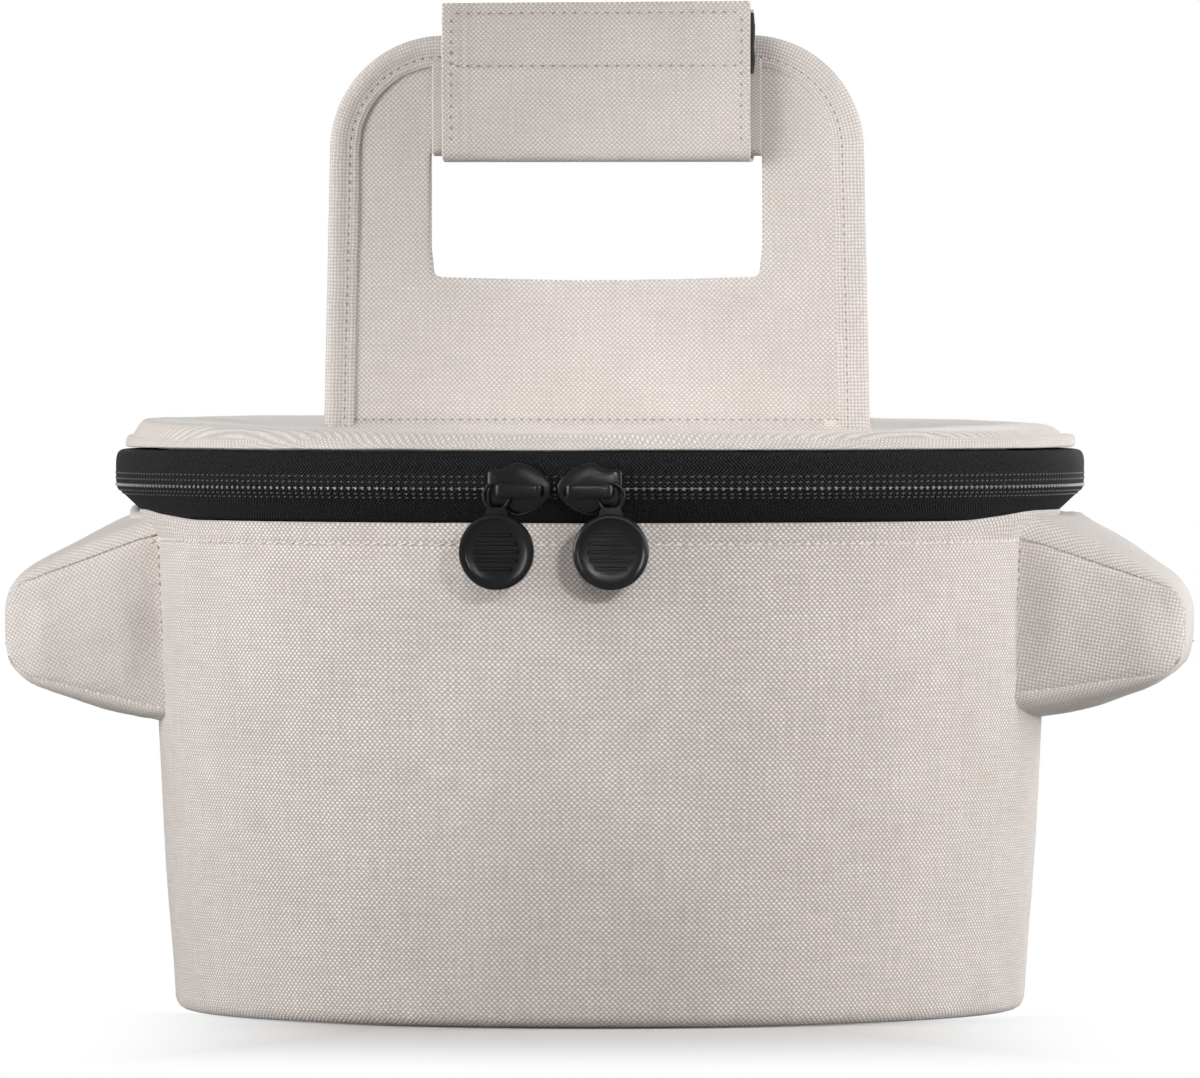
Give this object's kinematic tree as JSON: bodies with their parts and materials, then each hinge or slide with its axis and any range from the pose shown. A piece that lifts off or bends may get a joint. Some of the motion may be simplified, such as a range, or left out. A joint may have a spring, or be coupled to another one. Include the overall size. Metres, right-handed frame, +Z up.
{
  "type": "dutch oven tote bag",
  "caption": "Round padded canvas carrier for a dutch oven, with side ears for the pot's handles, a zipped lid and an upright carrying handle with a wrap-round grip.",
  "frame": {"origin": "centre of the bag's flat underside, where it stands", "axes": "+Z up, +X to the viewer's right along the two ears, -Y to the front where the zip sliders meet"},
  "size_m": [0.3966, 0.3275, 0.3328],
  "materials": {
    "canvas": "undyed basket-weave cotton canvas",
    "board": "stiff plastic board",
    "foam": "soft padding",
    "lining": "plain woven lining",
    "zip_tape": "black twill zip tape",
    "zip_coil": "black nylon coil",
    "black_metal": "satin black",
    "hook_and_loop": "black hook-and-loop tape"
  },
  "bodies": {
    "bag": {"base_panel": "canvas", "base_board": "board", "base_foam": "foam", "base_lining": "lining", "front_panel": "canvas", "rear_panel": "canvas", "wall_foam": "foam", "wall_lining": "lining", "rim_binding": "lining", "left_ear_front_panel": "canvas", "left_ear_rear_panel": "canvas", "left_ear_gusset": "canvas", "left_ear_padding": "foam", "left_ear_lining": "lining", "right_ear_front_panel": "canvas", "right_ear_rear_panel": "canvas", "right_ear_gusset": "canvas", "right_ear_padding": "foam", "right_ear_lining": "lining", "lower_zip_tape": "zip_tape", "lower_zip_coil": "zip_coil", "left_end_stop": "black_metal", "right_end_stop": "black_metal", "hinge_strip": "canvas"},
    "lid": {"lid_lip": "canvas", "lid_top_panel": "canvas", "lid_foam": "foam", "lid_lining": "lining", "handle_anchor_strip": "board", "upper_zip_tape": "zip_tape", "upper_zip_coil": "zip_coil"},
    "handle": {"handle_front_panel": "canvas", "handle_rear_panel": "canvas", "handle_stiffener": "board", "handle_edge_binding": "canvas", "handle_hem": "canvas", "grip_inner_wrap": "canvas", "grip_outer_wrap": "canvas", "loop_strip": "hook_and_loop"},
    "grip_flap": {"grip_flap": "canvas", "hook_strip": "hook_and_loop"},
    "left_slider": {"left_slider": "black_metal"},
    "right_slider": {"right_slider": "black_metal"},
    "left_puller": {"left_puller": "black_metal"},
    "right_puller": {"right_puller": "black_metal"}
  },
  "joints": [
    {"name": "lid_hinge", "type": "hinge", "parent": "bag", "child": "lid", "pos_m": [0, 0.1585, 0.1855], "axis": [-1, 0, 0], "range_deg": [0, 110]},
    {"name": "handle_fold", "type": "hinge", "parent": "lid", "child": "handle", "pos_m": [0, 0, 0.1956], "axis": [-1, 0, 0], "range_deg": [-80, 80]},
    {"name": "grip_flap_peel", "type": "hinge", "parent": "handle", "child": "grip_flap", "pos_m": [0, -0.0089, 0.281], "axis": [1, 0, 0], "range_deg": [0, 150]},
    {"name": "left_slider_run", "type": "hinge", "parent": "bag", "child": "left_slider", "pos_m": [0, 0, 0.1737], "axis": [0, 0, -1], "range_deg": [0, 62]},
    {"name": "right_slider_run", "type": "hinge", "parent": "bag", "child": "right_slider", "pos_m": [0, 0, 0.1737], "axis": [0, 0, 1], "range_deg": [0, 62]},
    {"name": "left_puller_swing", "type": "hinge", "parent": "left_slider", "child": "left_puller", "pos_m": [-0.01814, -0.16414, 0.173], "axis": [0.0691, 0.9976, 0], "range_deg": [-12, 90]},
    {"name": "right_puller_swing", "type": "hinge", "parent": "right_slider", "child": "right_puller", "pos_m": [0.01814, -0.16414, 0.173], "axis": [0.0691, -0.9976, 0], "range_deg": [-12, 90]}
  ]
}
